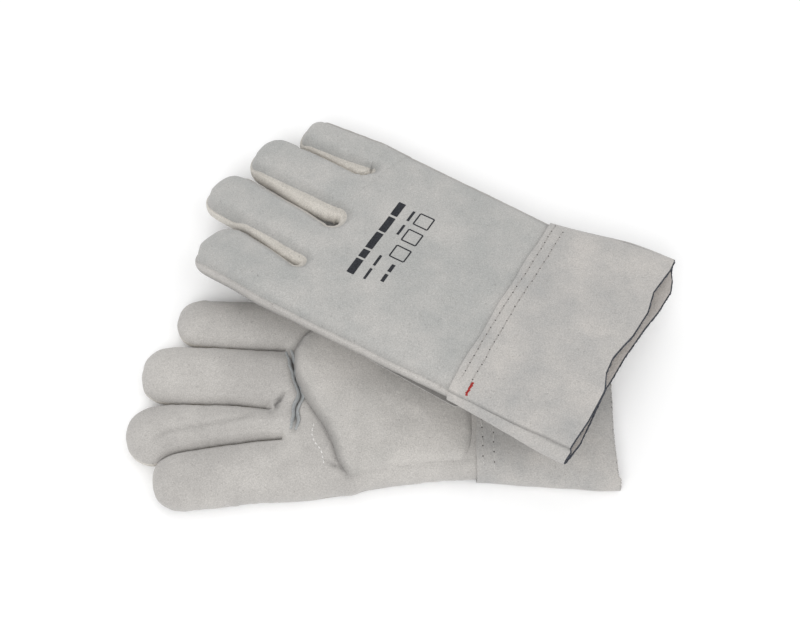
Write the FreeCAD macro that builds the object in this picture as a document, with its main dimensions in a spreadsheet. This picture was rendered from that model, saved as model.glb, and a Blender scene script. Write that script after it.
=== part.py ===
import FreeCAD, Part
import math
import os

import Sketcher

# A pair of welding gloves in split cowhide, stored as a pile on a table.
# The left glove lies flat with its palm up, and the right glove lies across it with its back up.
#
# Each glove is drawn as its cutting pattern in a frame of its own: the origin is at the middle of
# the wrist seam, +x runs towards the fingertips, +y towards the index finger and +z up.
# Every leather piece is a flat panel or a strip on edge between two panels, so that the inside stays
# open from the cuff's mouth to the fingertips.
# Each finger starts at a bend line across its root. Up to that line the leather belongs to the hand.

FINGERS = ("index", "middle", "ring", "little")
CROTCHES = (("index", "middle"), ("middle", "ring"), ("ring", "little"))

# The driving dimensions, in millimetres and degrees. Each is one cell of the sheet.
DIMENSIONS = {
    # leather and the hand's tube
    "leather": 1.5,
    "glove_thick": 16.0,
    "bend_gap": 0.4,
    # wrist seam and cuff
    "seam_half": 66.0,
    "cuff_len": 75.0,
    "left_mouth_near": 70.0,
    "left_mouth_far": 79.0,
    "right_mouth_near": 80.0,
    "right_mouth_far": 79.0,
    "lap": 14.0,
    "lap_hold": 4.0,
    "lap_inset": 3.0,
    # fingers: half widths, the same on both gloves
    "index_half": 16.0,
    "middle_half": 15.0,
    "ring_half": 15.5,
    "little_half": 14.0,
    # thumb
    "thumb_half": 16.5,
    "thumb_thick": 8.0,
    "thumb_free": 0.4,
    "thumb_slip": 0.1,
    "thumb_hole": 9.0,
    # thread and trim
    "thread_wide": 0.8,
    "thread_high": 0.6,
    "row_first": 4.0,
    "row_second": 9.0,
    "row_inset": 5.0,
    "welt_wide": 2.0,
    "welt_start": 5.0,
    "bartack_len": 7.0,
    "bartack_inset": 8.0,
    # right glove: side bulges at the knuckles
    "right_knuckle_x": 70.0,
    "right_near": 70.0,
    "right_far": 69.0,
    "right_crease_x": 104.0,
    "right_index_middle_x": 113.0,
    "right_middle_ring_x": 110.0,
    "right_ring_little_x": 111.0,
    # right glove: each finger's bend line, turn in the plane, droop and length
    "right_index_x": 124.0,
    "right_index_y": 52.5,
    "right_index_turn": -10.0,
    "right_index_droop": 16.0,
    "right_index_len": 60.0,
    "right_middle_x": 124.0,
    "right_middle_y": 15.5,
    "right_middle_turn": -7.0,
    "right_middle_droop": 9.0,
    "right_middle_len": 79.0,
    "right_ring_x": 124.0,
    "right_ring_y": -22.5,
    "right_ring_turn": -5.0,
    "right_ring_droop": 5.0,
    "right_ring_len": 70.0,
    "right_little_x": 120.0,
    "right_little_y": -56.5,
    "right_little_turn": -2.5,
    "right_little_droop": 2.0,
    "right_little_len": 53.0,
    # right glove: thumb folded under the palm
    "right_thumb_x": 18.0,
    "right_thumb_y": 58.0,
    "right_thumb_turn": -18.0,
    "right_thumb_span": 50.0,
    "right_hole_x": 20.0,
    "right_hole_y": 53.0,
    # left glove
    "left_knuckle_x": 66.0,
    "left_near": 75.0,
    "left_far": 65.0,
    "left_crease_x": 104.0,
    "left_index_middle_x": 108.0,
    "left_middle_ring_x": 112.0,
    "left_ring_little_x": 108.0,
    "left_index_x": 118.0,
    "left_index_y": 64.5,
    "left_index_turn": 4.6,
    "left_index_droop": 0.0,
    "left_index_len": 62.0,
    "left_middle_x": 118.0,
    "left_middle_y": 32.0,
    "left_middle_turn": 4.3,
    "left_middle_droop": 0.0,
    "left_middle_len": 80.0,
    "left_ring_x": 118.0,
    "left_ring_y": 0.0,
    "left_ring_turn": -0.8,
    "left_ring_droop": 0.0,
    "left_ring_len": 74.0,
    "left_little_x": 145.0,
    "left_little_y": -34.0,
    "left_little_turn": 0.0,
    "left_little_droop": 0.0,
    "left_little_len": 29.5,
    # left glove: thumb folded over the palm
    "left_thumb_x": 55.0,
    "left_thumb_y": 56.0,
    "left_thumb_turn": -63.0,
    "left_thumb_span": 64.0,
    "left_hole_x": 53.0,
    "left_hole_y": 54.0,
    # where each glove lies on the table
    "left_place_x": 38.46,
    "left_place_y": -43.2,
    "right_place_x": 54.96,
    "right_place_y": -15.4,
    "right_place_z": 35.8,
    "right_yaw": 150.6,
    "right_pitch": 3.0,
    "right_roll": 10.0,
}

# Rough places of new sketch geometry, before its constraints put it where the sheet says.
ROUGH_RADIUS = 100.0
ROUGH_NUDGE = 0.5
ROUGH_CIRCLE = 5.0

doc = FreeCAD.newDocument("welding_gloves")
sheet = doc.addObject("Spreadsheet::Sheet", "dims")
for row, (alias, value) in enumerate(DIMENSIONS.items(), start=1):
    sheet.set(f"A{row}", alias)
    sheet.set(f"B{row}", str(value))
    sheet.setAlias(f"B{row}", alias)
doc.recompute()

nodes = []


def size(alias):
    """A driving dimension's value, read from the sheet."""
    return float(sheet.get(alias))


def bound(text):
    """An expression in which each word that names a cell reads that cell."""
    out = []
    word = ""
    for letter in text + " ":
        if letter.isalnum() or letter == "_":
            word += letter
            continue
        out.append(f"dims.{word}" if word in DIMENSIONS else word)
        out.append(letter)
        word = ""
    return "".join(out).strip()


def keep(piece, label, placement):
    """Names a finished sub-part and puts it in its place."""
    piece.Label = label
    piece.Placement = placement
    nodes.append(piece)
    return piece


# ---------------------------------------------------------------- sketches and pads


def outline(body, name, corners, level):
    """A closed outline of straight edges, each corner held at two bound coordinates."""
    sketch = body.newObject("Sketcher::SketchObject", name)
    plane = next(f for f in body.Origin.OriginFeatures if f.Role == "XY_Plane")
    sketch.AttachmentSupport = [(plane, "")]
    sketch.MapMode = "FlatFace"
    sketch.setExpression("AttachmentOffset.Base.z", bound(level))
    count = len(corners)
    turns = [k * math.tau / count for k in range(count)]
    start = [FreeCAD.Vector(math.cos(a), math.sin(a), 0) * ROUGH_RADIUS for a in turns]
    for k in range(count):
        sketch.addGeometry(Part.LineSegment(start[k], start[(k + 1) % count]), False)
    for k in range(count):
        sketch.addConstraint(Sketcher.Constraint("Coincident", k, 2, (k + 1) % count, 1))
    for k, (x, y) in enumerate(corners):
        at_x = sketch.addConstraint(Sketcher.Constraint("DistanceX", k, 1, start[k].x + ROUGH_NUDGE))
        sketch.setExpression(f"Constraints[{at_x}]", bound(x))
        at_y = sketch.addConstraint(Sketcher.Constraint("DistanceY", k, 1, start[k].y + ROUGH_NUDGE))
        sketch.setExpression(f"Constraints[{at_y}]", bound(y))
    return sketch


def pad(body, name, corners, level, height):
    """An outline raised from a level by a height."""
    feature = body.newObject("PartDesign::Pad", f"{name}_pad")
    feature.Profile = outline(body, f"{name}_outline", corners, level)
    feature.setExpression("Length", bound(height))
    body.Tip = feature
    return feature


def round_hole(body, name, x, y, radius):
    """A round hole right through a panel."""
    sketch = body.newObject("Sketcher::SketchObject", f"{name}_circle")
    plane = next(f for f in body.Origin.OriginFeatures if f.Role == "XY_Plane")
    sketch.AttachmentSupport = [(plane, "")]
    sketch.MapMode = "FlatFace"
    centre = FreeCAD.Vector(ROUGH_CIRCLE, ROUGH_CIRCLE, 0)
    sketch.addGeometry(Part.Circle(centre, FreeCAD.Vector(0, 0, 1), ROUGH_CIRCLE), False)
    at_x = sketch.addConstraint(Sketcher.Constraint("DistanceX", 0, 3, ROUGH_CIRCLE))
    at_y = sketch.addConstraint(Sketcher.Constraint("DistanceY", 0, 3, ROUGH_CIRCLE))
    at_r = sketch.addConstraint(Sketcher.Constraint("Radius", 0, ROUGH_CIRCLE))
    sketch.setExpression(f"Constraints[{at_x}]", bound(x))
    sketch.setExpression(f"Constraints[{at_y}]", bound(y))
    sketch.setExpression(f"Constraints[{at_r}]", bound(radius))
    feature = body.newObject("PartDesign::Pocket", f"{name}_pocket")
    feature.Profile = sketch
    feature.Midplane = True
    feature.setExpression("Length", bound("2 * glove_thick"))
    body.Tip = feature
    return feature


# ---------------------------------------------------------------- primitives


def block(name, length, width, height, x, y, z):
    """A box with its sizes and its lowest corner bound to the sheet."""
    piece = doc.addObject("Part::Box", name)
    piece.setExpression("Length", bound(length))
    piece.setExpression("Width", bound(width))
    piece.setExpression("Height", bound(height))
    for axis, text in zip("xyz", (x, y, z)):
        piece.setExpression(f"Placement.Base.{axis}", bound(text))
    return piece


def disc(name, radius, height, x, z):
    """An upright cylinder on the x axis."""
    piece = doc.addObject("Part::Cylinder", name)
    piece.setExpression("Radius", bound(radius))
    piece.setExpression("Height", bound(height))
    piece.setExpression("Placement.Base.x", bound(x))
    piece.setExpression("Placement.Base.z", bound(z))
    return piece


def joined(name, *pieces):
    """Solids fused to one, with the faces that they share merged."""
    fuse = doc.addObject("Part::MultiFuse", name)
    fuse.Shapes = list(pieces)
    fuse.Refine = True
    return fuse


def less(name, base, tool):
    """One solid with another taken away."""
    cut = doc.addObject("Part::Cut", name)
    cut.Base = base
    cut.Tool = tool
    return cut


def stadium(name, half, start, reach, height, z, rounded_start=False):
    """A bar of half width `half` from x = start, with a round end whose centre is at x = reach."""
    parts = [
        block(f"{name}_bar", f"{reach} - ({start})", f"2 * ({half})", height, start, f"-({half})", z),
        disc(f"{name}_tip", half, height, reach, z),
    ]
    if rounded_start:
        parts.append(disc(f"{name}_root", half, height, start, z))
    return joined(name, *parts)


# ---------------------------------------------------------------- one glove's pattern


class Pattern:
    """The cutting pattern of one glove: named levels and corners as sheet expressions."""

    WALL_LEVEL = "-glove_thick / 2 + leather"
    WALL_HEIGHT = "glove_thick - 2 * leather"

    def __init__(self, hand, palm_up, placement):
        self.hand = hand
        self.palm_up = palm_up
        self.placement = placement

    def cell(self, name):
        return f"{self.hand}_{name}"

    def panel_level(self, is_palm):
        """The underside of the palm's or the back's panel."""
        if is_palm == self.palm_up:
            return "glove_thick / 2 - leather"
        return "-glove_thick / 2"

    def tongue_level(self, is_palm):
        """The underside of the skived tongue, one leather further in than its panel."""
        if is_palm == self.palm_up:
            return "glove_thick / 2 - 2 * leather"
        return "-glove_thick / 2 + leather"

    def bend_corner(self, finger, side):
        """An end of a finger's bend line: side +1 is towards the index finger, -1 away from it."""
        at, half = self.cell(finger), f"{finger}_half"
        sign = "-" if side > 0 else "+"
        other = "+" if side > 0 else "-"
        return (
            f"{at}_x {sign} {half} * sin({at}_turn)",
            f"{at}_y {other} {half} * cos({at}_turn)",
        )

    def crotch_corner(self, pair, side):
        """A corner of the notch between two fingers, on the line of the finger on that side."""
        finger = pair[0] if side > 0 else pair[1]
        x, y = self.bend_corner(finger, -side)
        bottom = self.cell(f"{pair[0]}_{pair[1]}_x")
        return (bottom, f"{y} - ({x} - {bottom}) * tan({self.cell(finger)}_turn)")

    def near_side(self):
        return [("0", "seam_half"), (self.cell("knuckle_x"), self.cell("near"))]

    def far_side(self):
        return [(self.cell("knuckle_x"), f"-{self.cell('far')}"), ("0", "-seam_half")]

    def stub(self, finger):
        return [self.bend_corner(finger, 1), self.bend_corner(finger, -1)]

    def notch(self, pair):
        return [self.crotch_corner(pair, 1), self.crotch_corner(pair, -1)]


def moved(corner, dx, dy):
    return (f"{corner[0]} + {dx}", f"{corner[1]} + {dy}")


def tongue(body, pattern, is_palm):
    """The skived end of a hand panel, which slips under the cuff's panel."""
    reach, inset = "seam_half - lap_inset", "lap_hold"
    corners = [(inset, reach), ("-lap", reach), ("-lap", f"-({reach})"), (inset, f"-({reach})")]
    pad(body, f"{body.Name}_tongue", corners, pattern.tongue_level(is_palm), "leather")


def back_panel(pattern):
    """The one-piece back of the hand, up to the fingers' bend lines."""
    body = doc.addObject("PartDesign::Body", f"{pattern.hand}_back_panel")
    corners = pattern.near_side() + pattern.stub("index")
    for pair in CROTCHES:
        corners += pattern.notch(pair) + pattern.stub(pair[1])
    corners += pattern.far_side()
    pad(body, body.Name, corners, pattern.panel_level(False), "leather")
    tongue(body, pattern, False)
    return keep(body, f"{pattern.hand}_back_panel", pattern.placement)


def palm_panel(pattern):
    """The palm with the index and little fingers' stubs, and the two sides that wrap up from it."""
    body = doc.addObject("PartDesign::Body", f"{pattern.hand}_palm_panel")
    crease = pattern.cell("crease_x")
    near_notch = pattern.crotch_corner(CROTCHES[0], 1)
    far_notch = pattern.crotch_corner(CROTCHES[2], -1)
    corners = (
        pattern.near_side()
        + pattern.stub("index")
        + [near_notch, (crease, near_notch[1]), (crease, far_notch[1]), far_notch]
        + pattern.stub("little")
        + pattern.far_side()
    )
    pad(body, body.Name, corners, pattern.panel_level(True), "leather")
    near = pattern.near_side() + [pattern.bend_corner("index", 1)]
    near += [moved(c, "0", "(-leather)") for c in reversed(near)]
    pad(body, f"{body.Name}_near_wall", near, pattern.WALL_LEVEL, pattern.WALL_HEIGHT)
    far = [pattern.bend_corner("little", -1)] + pattern.far_side()
    far += [moved(c, "0", "leather") for c in reversed(far)]
    pad(body, f"{body.Name}_far_wall", far, pattern.WALL_LEVEL, pattern.WALL_HEIGHT)
    tongue(body, pattern, True)
    round_hole(body, f"{body.Name}_thumb", pattern.cell("hole_x"), pattern.cell("hole_y"), "thumb_hole")
    return keep(body, f"{pattern.hand}_palm_panel", pattern.placement)


def middle_ring_front(pattern):
    """The separate palm-side piece of the two middle fingers, which starts at the crease seam."""
    body = doc.addObject("PartDesign::Body", f"{pattern.hand}_middle_ring_front")
    crease = pattern.cell("crease_x")
    near_notch = pattern.notch(CROTCHES[0])
    far_notch = pattern.notch(CROTCHES[2])
    corners = (
        [(crease, near_notch[0][1])]
        + near_notch
        + pattern.stub("middle")
        + pattern.notch(CROTCHES[1])
        + pattern.stub("ring")
        + far_notch
        + [(crease, far_notch[1][1])]
    )
    pad(body, body.Name, corners, pattern.panel_level(True), "leather")
    return keep(body, f"{pattern.hand}_middle_ring_front", pattern.placement)


def crotch_strip(pattern, pair):
    """The root of the strip between two fingers: a web round the bottom of their notch."""
    label = f"{pattern.hand}_fourchette_{pair[0]}_{pair[1]}"
    body = doc.addObject("PartDesign::Body", label)
    outer = [
        pattern.bend_corner(pair[0], -1),
        pattern.crotch_corner(pair, 1),
        pattern.crotch_corner(pair, -1),
        pattern.bend_corner(pair[1], 1),
    ]
    inner = [
        moved(outer[3], "0", "(-leather)"),
        moved(outer[2], "(-leather)", "(-leather)"),
        moved(outer[1], "(-leather)", "leather"),
        moved(outer[0], "0", "leather"),
    ]
    pad(body, label, outer + inner, pattern.WALL_LEVEL, pattern.WALL_HEIGHT)
    return keep(body, label, pattern.placement)


def finger_placement(pattern, finger):
    """A finger's own frame: x along it from the bend line, z = 0 on its underside."""
    at = pattern.cell(finger)
    root = FreeCAD.Vector(size(f"{at}_x"), size(f"{at}_y"), -size("glove_thick") / 2)
    turn = FreeCAD.Rotation(FreeCAD.Vector(0, 0, 1), size(f"{at}_turn"))
    droop = FreeCAD.Rotation(FreeCAD.Vector(0, 1, 0), size(f"{at}_droop"))
    return pattern.placement.multiply(FreeCAD.Placement(root, turn.multiply(droop)))


def finger_pieces(pattern, finger):
    """A finger beyond its bend line: its back, its front and the strip round its sides and tip."""
    at, half = pattern.cell(finger), f"{finger}_half"
    reach = f"{at}_len - {half}"
    placement = finger_placement(pattern, finger)
    upper_side, lower_side = ("front", "back") if pattern.palm_up else ("back", "front")
    upper = stadium(f"{at}_upper", half, "bend_gap", reach, "leather", "glove_thick - leather")
    keep(upper, f"{at}_{upper_side}", placement)
    lower = stadium(f"{at}_lower", half, "bend_gap", reach, "leather", "0")
    keep(lower, f"{at}_{lower_side}", placement)
    rim = stadium(f"{at}_rim", half, "bend_gap", reach, "glove_thick - 2 * leather", "leather")
    tall = "glove_thick - 2 * leather"
    hollow = stadium(f"{at}_hollow", f"{half} - leather", "bend_gap - leather", reach, tall, "leather")
    keep(less(f"{at}_strip", rim, hollow), f"{at}_side_strip", placement)


def thumb_pieces(pattern):
    """The folded thumb: a hollow outer piece whose rim meets the palm, and its free end's inner piece."""
    at = pattern.cell("thumb")
    side = 1 if pattern.palm_up else -1
    base = FreeCAD.Vector(size(f"{at}_x"), size(f"{at}_y"), side * size("glove_thick") / 2)
    turn = FreeCAD.Rotation(FreeCAD.Vector(0, 0, 1), size(f"{at}_turn"))
    if side < 0:
        turn = turn.multiply(FreeCAD.Rotation(FreeCAD.Vector(1, 0, 0), 180))
    placement = pattern.placement.multiply(FreeCAD.Placement(base, turn))
    span = f"{at}_span"
    shell = stadium(f"{at}_shell", "thumb_half", "0", span, "thumb_thick", "0", True)
    hollow = stadium(
        f"{at}_pocket", "thumb_half - leather", "0", span, "thumb_thick - leather", "0", True
    )
    keep(less(f"{at}_pan", shell, hollow), f"{at}_back", placement)
    inner_half = "thumb_half - leather - thumb_slip"
    inner = stadium(f"{at}_inner", inner_half, f"{span} * thumb_free", span, "leather", "0")
    keep(inner, f"{at}_front", placement)


def cuff_corners(pattern):
    return [
        ("0", "seam_half"),
        ("-cuff_len", pattern.cell("mouth_near")),
        ("-cuff_len", f"-{pattern.cell('mouth_far')}"),
        ("0", "-seam_half"),
    ]


def cuff_pieces(pattern):
    """The flared cuff: a flat back, and a palm side whose two edges wrap up to meet it."""
    label = f"{pattern.hand}_cuff_back"
    back = doc.addObject("PartDesign::Body", label)
    pad(back, label, cuff_corners(pattern), pattern.panel_level(False), "leather")
    keep(back, label, pattern.placement)
    label = f"{pattern.hand}_cuff_palm"
    palm = doc.addObject("PartDesign::Body", label)
    corners = cuff_corners(pattern)
    pad(palm, label, corners, pattern.panel_level(True), "leather")
    near = corners[:2] + [moved(c, "0", "(-leather)") for c in reversed(corners[:2])]
    pad(palm, f"{label}_near_wall", near, pattern.WALL_LEVEL, pattern.WALL_HEIGHT)
    far = corners[2:] + [moved(c, "0", "leather") for c in reversed(corners[2:])]
    pad(palm, f"{label}_far_wall", far, pattern.WALL_LEVEL, pattern.WALL_HEIGHT)
    keep(palm, label, pattern.placement)


def cuff_thread(pattern, is_palm):
    """The two rows of lockstitch of a cuff seam: on the leather's top, or inside on the lower tongue."""
    label = f"{pattern.hand}_cuff_{'palm' if is_palm else 'back'}_thread"
    on_top = is_palm == pattern.palm_up
    level = "glove_thick / 2" if on_top else "-glove_thick / 2 + 2 * leather"
    rows = [
        block(
            f"{label}_{row}",
            "thread_wide",
            "2 * (seam_half - row_inset)",
            "thread_high",
            f"-{row} - thread_wide / 2",
            "-(seam_half - row_inset)",
            level,
        )
        for row in ("row_first", "row_second")
    ]
    group = doc.addObject("Part::Compound", f"{label}_rows")
    group.Links = rows
    keep(group, label, pattern.placement)


def thumb_side_welt(pattern):
    """A narrow strip of leather sewn into the seam along the index finger's side of the hand."""
    label = f"{pattern.hand}_side_welt"
    body = doc.addObject("PartDesign::Body", label)
    near, knuckle = pattern.cell("near"), pattern.cell("knuckle_x")
    start = ("welt_start", f"seam_half + ({near} - seam_half) * welt_start / {knuckle}")
    inner = [start, (knuckle, near), pattern.bend_corner("index", 1)]
    corners = inner + [moved(c, "0", "welt_wide") for c in reversed(inner)]
    pad(body, label, corners, "glove_thick / 2 - 2 * leather", "leather")
    keep(body, label, pattern.placement)


def bartack(pattern):
    """The short bar of red thread at the end of the cuff's seam."""
    label = f"{pattern.hand}_red_bartack"
    bar = block(
        f"{label}_bar",
        "bartack_len",
        "thread_wide",
        "thread_high",
        "-row_second - bartack_len - thread_wide",
        "seam_half - bartack_inset",
        "glove_thick / 2",
    )
    group = doc.addObject("Part::Compound", f"{label}_group")
    group.Links = [bar]
    keep(group, label, pattern.placement)


def glove(pattern):
    """Every piece of one glove."""
    back_panel(pattern)
    palm_panel(pattern)
    middle_ring_front(pattern)
    for pair in CROTCHES:
        crotch_strip(pattern, pair)
    for finger in FINGERS:
        finger_pieces(pattern, finger)
    thumb_pieces(pattern)
    cuff_pieces(pattern)
    cuff_thread(pattern, is_palm=False)
    cuff_thread(pattern, is_palm=True)
    thumb_side_welt(pattern)


# ---------------------------------------------------------------- the pair in its pile


def turned(axis, degrees):
    return FreeCAD.Rotation(FreeCAD.Vector(*axis), degrees)


left_place = FreeCAD.Placement(
    FreeCAD.Vector(size("left_place_x"), size("left_place_y"), size("glove_thick") / 2),
    turned((0, 0, 1), 180),
)
right_place = FreeCAD.Placement(
    FreeCAD.Vector(size("right_place_x"), size("right_place_y"), size("right_place_z")),
    turned((0, 0, 1), size("right_yaw"))
    .multiply(turned((0, 1, 0), size("right_pitch")))
    .multiply(turned((1, 0, 0), size("right_roll"))),
)

glove(Pattern("left", palm_up=True, placement=left_place))
right = Pattern("right", palm_up=False, placement=right_place)
glove(right)
bartack(right)

doc.recompute()
failed = [o.Label for o in doc.Objects if {"Invalid", "Error"} & set(o.State)]
if failed:
    raise RuntimeError(f"these objects failed: {failed}")
for node in nodes:
    if node.Shape.isNull() or not node.Shape.isValid() or not node.Shape.Solids:
        raise RuntimeError(f"{node.Label} has no valid solid")

os.makedirs("parts", exist_ok=True)
for node in nodes:
    node.Shape.exportStep(os.path.join("parts", f"{node.Label}.step"))
print(f"wrote {len(nodes)} nodes")
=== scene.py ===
import math
from dataclasses import dataclass

import bpy
import numpy as np
from mathutils import Matrix, Vector, geometry, noise
from mathutils.bvhtree import BVHTree


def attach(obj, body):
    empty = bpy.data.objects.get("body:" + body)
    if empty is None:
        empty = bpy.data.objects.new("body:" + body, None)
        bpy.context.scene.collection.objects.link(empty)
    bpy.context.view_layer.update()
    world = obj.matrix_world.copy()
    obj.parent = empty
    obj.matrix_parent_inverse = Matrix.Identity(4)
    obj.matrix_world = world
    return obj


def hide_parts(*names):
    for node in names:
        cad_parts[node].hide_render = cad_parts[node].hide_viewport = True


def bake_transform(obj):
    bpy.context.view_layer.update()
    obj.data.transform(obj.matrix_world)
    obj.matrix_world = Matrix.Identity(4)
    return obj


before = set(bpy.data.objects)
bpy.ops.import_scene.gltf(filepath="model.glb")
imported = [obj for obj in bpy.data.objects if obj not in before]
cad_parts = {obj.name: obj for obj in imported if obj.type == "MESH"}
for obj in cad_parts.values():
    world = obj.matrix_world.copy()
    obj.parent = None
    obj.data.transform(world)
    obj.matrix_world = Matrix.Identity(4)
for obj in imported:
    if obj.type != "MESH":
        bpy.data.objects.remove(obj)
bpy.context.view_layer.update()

# Leather is modelled in each glove's own frame, in millimetres: x runs from the wrist seam to the
# fingertips, y towards the index finger, z up. Glove.place() takes it to the row frame, in metres.
MM = 0.001
STEP = 1.5  # distance between the points of a panel
GLOVE_HALF = 8.0  # half the thickness of a glove in the CAD model
HAND_HALF = 67.0  # half the width of a hand below its fingers
LEATHER = 1.4
ROWS = 13  # points down a glove's side, from its top seam line to its bottom one
ABOVE = 60.0  # a height clear of a glove, where the rays that probe its surface start


def turn(axis, degrees):
    return np.array(Matrix.Rotation(math.radians(degrees), 3, axis))


def unit_rows(vectors):
    return vectors / np.linalg.norm(vectors, axis=1)[:, None]


def at_height(flat, z=0.0):
    """Flat points with a height added."""
    return np.column_stack([flat, np.broadcast_to(z, len(flat))])


def nearest(points, target):
    """The index of the point nearest to a target."""
    return int(np.argmin(((points - target) ** 2).sum(axis=1)))


# ---- the two gloves


@dataclass
class Finger:
    """A finger's seam outline seen from above: a tapered bar from its root to the centre of its tip.

    The bow bends it sideways in mm, a lower blunt makes a squarer tip, and droop is how many degrees it
    hangs down.
    """

    name: str
    root: tuple
    tip: tuple
    half_root: float
    half_tip: float
    bow: float = 0.0
    blunt: float = 0.85
    droop: float = 0.0

    @property
    def along(self):
        d = np.subtract(self.tip, self.root)
        return d / np.linalg.norm(d)

    @property
    def across(self):
        return np.array([-self.along[1], self.along[0]])

    def side(self, sign):
        t = np.linspace(0, 1, 7)[:, None]
        half = self.half_root + (self.half_tip - self.half_root) * t
        middle = np.add(self.root, t * np.subtract(self.tip, self.root))
        middle = middle + self.bow * np.sin(math.pi * t) * self.across
        points = middle + sign * half * self.across
        return points if sign > 0 else points[::-1]

    def end(self):
        turns = np.radians(np.linspace(78, -78, 11))[:, None]
        out = np.abs(np.cos(turns)) ** self.blunt
        sideways = np.sign(np.sin(turns)) * np.abs(np.sin(turns)) ** self.blunt
        return self.tip + self.half_tip * (out * self.along + sideways * self.across)


@dataclass
class Glove:
    hand: str
    palm_up: bool
    origin: tuple
    rotation: np.ndarray
    fingers: list
    notches: list  # (x of the bottom, y of the middle, half width)
    near: list
    far: list
    bulge: float  # how far the sides stand out from the seams
    split_at: dict  # where each finger's pieces start, as x

    def place(self, points):
        return (np.asarray(points, float) @ self.rotation.T + self.origin) * MM


RIGHT = Glove(
    hand="right",
    palm_up=False,
    origin=np.array([54.96, -15.4, 35.8]),
    rotation=turn("Z", 150.6) @ turn("Y", 3.0) @ turn("X", 10.0),
    fingers=[
        Finger("index", (120, 53.0), (161, 43.2), 14.2, 16.8, 0.5, 0.80, 16.0),
        Finger("middle", (120, 16.5), (180.0, 5.9), 13.0, 15.0, 0.0, 0.80, 9.0),
        Finger("ring", (120, -26.0), (171.0, -29.8), 14.5, 15.2, 0.0, 0.82, 5.0),
        Finger("little", (118, -59.8), (158.0, -57.6), 10.5, 10.8, 0.5, 0.85, 2.0),
    ],
    notches=[(111, 34.2, 4.6), (107.5, -4.0, 8.6), (113, -48.0, 2.8)],
    near=[(-5, 67.2), (20, 67.3), (60, 67.0), (90, 67.2)],
    far=[(90, -68.5), (60, -67.2), (20, -65.5), (-5, -64.2)],
    bulge=3.0,
    split_at={"index": 121, "middle": 121, "ring": 121, "little": 118},
)

LEFT = Glove(
    hand="left",
    palm_up=True,
    origin=np.array([38.46, -43.2, 8.0]),
    rotation=turn("Z", 180.0),
    fingers=[
        Finger("index", (112, 57.0), (162.5, 63.0), 13.5, 12.7, 0.0, 0.80),
        Finger("middle", (116, 31.5), (180, 37.3), 5.5, 12.4, -2.5, 0.85),
        Finger("ring", (114, 3.5), (174, 0.5), 14.0, 12.5, 0.0, 0.82),
        Finger("little", (112, -29.5), (159, -32.5), 11.5, 9.5, 0.0, 0.85),
    ],
    notches=[(106, 40.0, 3.2), (113, 22.8, 3.0), (106, -13.8, 3.2)],
    near=[(-5, 57.3), (30, 59.0), (62, 63.0), (70, 66.5), (76, 66.5), (96, 70.0)],
    far=[(96, -46.0), (70, -55.0), (30, -60.0), (-5, -61.0)],
    bulge=5.0,
    split_at={"index": 114, "middle": 118, "ring": 118, "little": 141},
)


# ---- outlines


def rounded(points, passes=3):
    """Chaikin's corner cutting, ends kept. Columns after the first two are carried along."""
    line = np.asarray(points, float)
    for _ in range(passes):
        a, b = line[:-1], line[1:]
        cut = np.empty((2 * len(a), line.shape[1]))
        cut[0::2] = 0.75 * a + 0.25 * b
        cut[1::2] = 0.25 * a + 0.75 * b
        line = np.vstack([line[:1], cut, line[-1:]])
    return line


def even(line, step):
    """Points at equal distances along a line."""
    gaps = np.linalg.norm(np.diff(line[:, :2], axis=0), axis=1)
    at = np.concatenate([[0], np.cumsum(gaps)])
    want = np.linspace(0, at[-1], max(2, int(round(at[-1] / step)) + 1))
    return np.stack([np.interp(want, at, line[:, k]) for k in range(line.shape[1])], axis=1)


def notch_points(notch):
    """The round bottom of the gap between two fingers."""
    x, y, half = notch
    turns = np.radians(np.linspace(90, 270, 7))
    return np.stack([x + half + half * np.cos(turns), y + half * np.sin(turns)], axis=1)


def seam_outline(glove):
    """The line round the glove where its top meets its sides, with each point's zone, finger and share.

    The zones are 0 for the near side, 1 to 3 for the gaps between the fingers and 4 for the far side. The
    finger is -1 on the hand. The share says how much of the room beside it the leather may fill.
    """
    slim, full, even_share = (0.48, 0.48, 0.48) if glove.palm_up else (0.20, 0.76, 0.48)
    runs = [(np.array(glove.near, float), 0, -1, even_share)]
    for k, finger in enumerate(glove.fingers):
        end = finger.end()
        middle = len(end) // 2
        runs += [
            (finger.side(1), k, k, full),
            (end[:middle], k, k, full),
            (end[middle:], k + 1, k, slim),
            (finger.side(-1), k + 1, k, slim),
        ]
        if k < len(glove.notches):
            runs.append((notch_points(glove.notches[k]), k + 1, -1, even_share))
    runs.append((np.array(glove.far, float), 4, -1, even_share))
    points = np.vstack([np.column_stack([p, np.tile([z, f, share], (len(p), 1))]) for p, z, f, share in runs])
    line = even(rounded(points), STEP)
    return line[:, :2], np.rint(line[:, 2]).astype(int), np.rint(line[:, 3]).astype(int), line[:, 4]


def outward(line):
    """The direction out of the glove at each point of a line that goes round it."""
    along = unit_rows(np.gradient(line, axis=0))
    return np.stack([-along[:, 1], along[:, 0]], axis=1)


def smooth_values(values, passes):
    for _ in range(passes):
        values = np.convolve(np.pad(values, 1, mode="edge"), [0.25, 0.5, 0.25], mode="valid")
    return values


def room_beside(line, normals):
    """For each point, how far it is to the other side of a notch."""
    a, b = line[:-1], line[1:]
    edge = b - a
    room = np.full(len(line), 1e3)
    for k, (p, n) in enumerate(zip(line, normals)):
        cross = n[0] * edge[:, 1] - n[1] * edge[:, 0]
        safe = np.where(np.abs(cross) < 1e-9, 1e-9, cross)
        to = a - p
        t = (to[:, 0] * edge[:, 1] - to[:, 1] * edge[:, 0]) / safe
        u = (to[:, 0] * n[1] - to[:, 1] * n[0]) / safe
        hit = (t > 0.3) & (u >= 0) & (u <= 1)
        if hit.any():
            room[k] = t[hit].min()
    return room


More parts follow.
